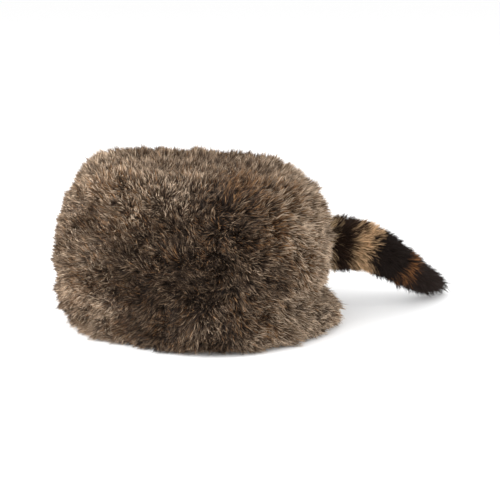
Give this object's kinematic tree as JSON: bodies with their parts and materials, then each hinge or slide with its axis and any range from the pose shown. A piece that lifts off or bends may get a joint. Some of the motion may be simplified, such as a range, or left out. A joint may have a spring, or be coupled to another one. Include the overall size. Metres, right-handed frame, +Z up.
{
  "type": "fur hat with tail",
  "caption": "Soft round fur cap with a dense pile all over and a ringed fur tail that hangs from its back.",
  "frame": {"origin": "middle of the outline's box, tail included, on the surface the hat stands on", "axes": "+X from the hat's front to its back and tail, +Z up, +Y to the side that the tail swings towards"},
  "size_m": [0.377, 0.239, 0.1603],
  "materials": {
    "hat_fur": "long soft fur, grey brown with tan tips and dark roots",
    "tail_fur": "long soft fur in tan and near-black rings",
    "pelt": "bare suede side of the pelt"
  },
  "bodies": {
    "root": {"crown": "hat_fur", "side_band": "hat_fur", "tail": "tail_fur"}
  },
  "joints": []
}
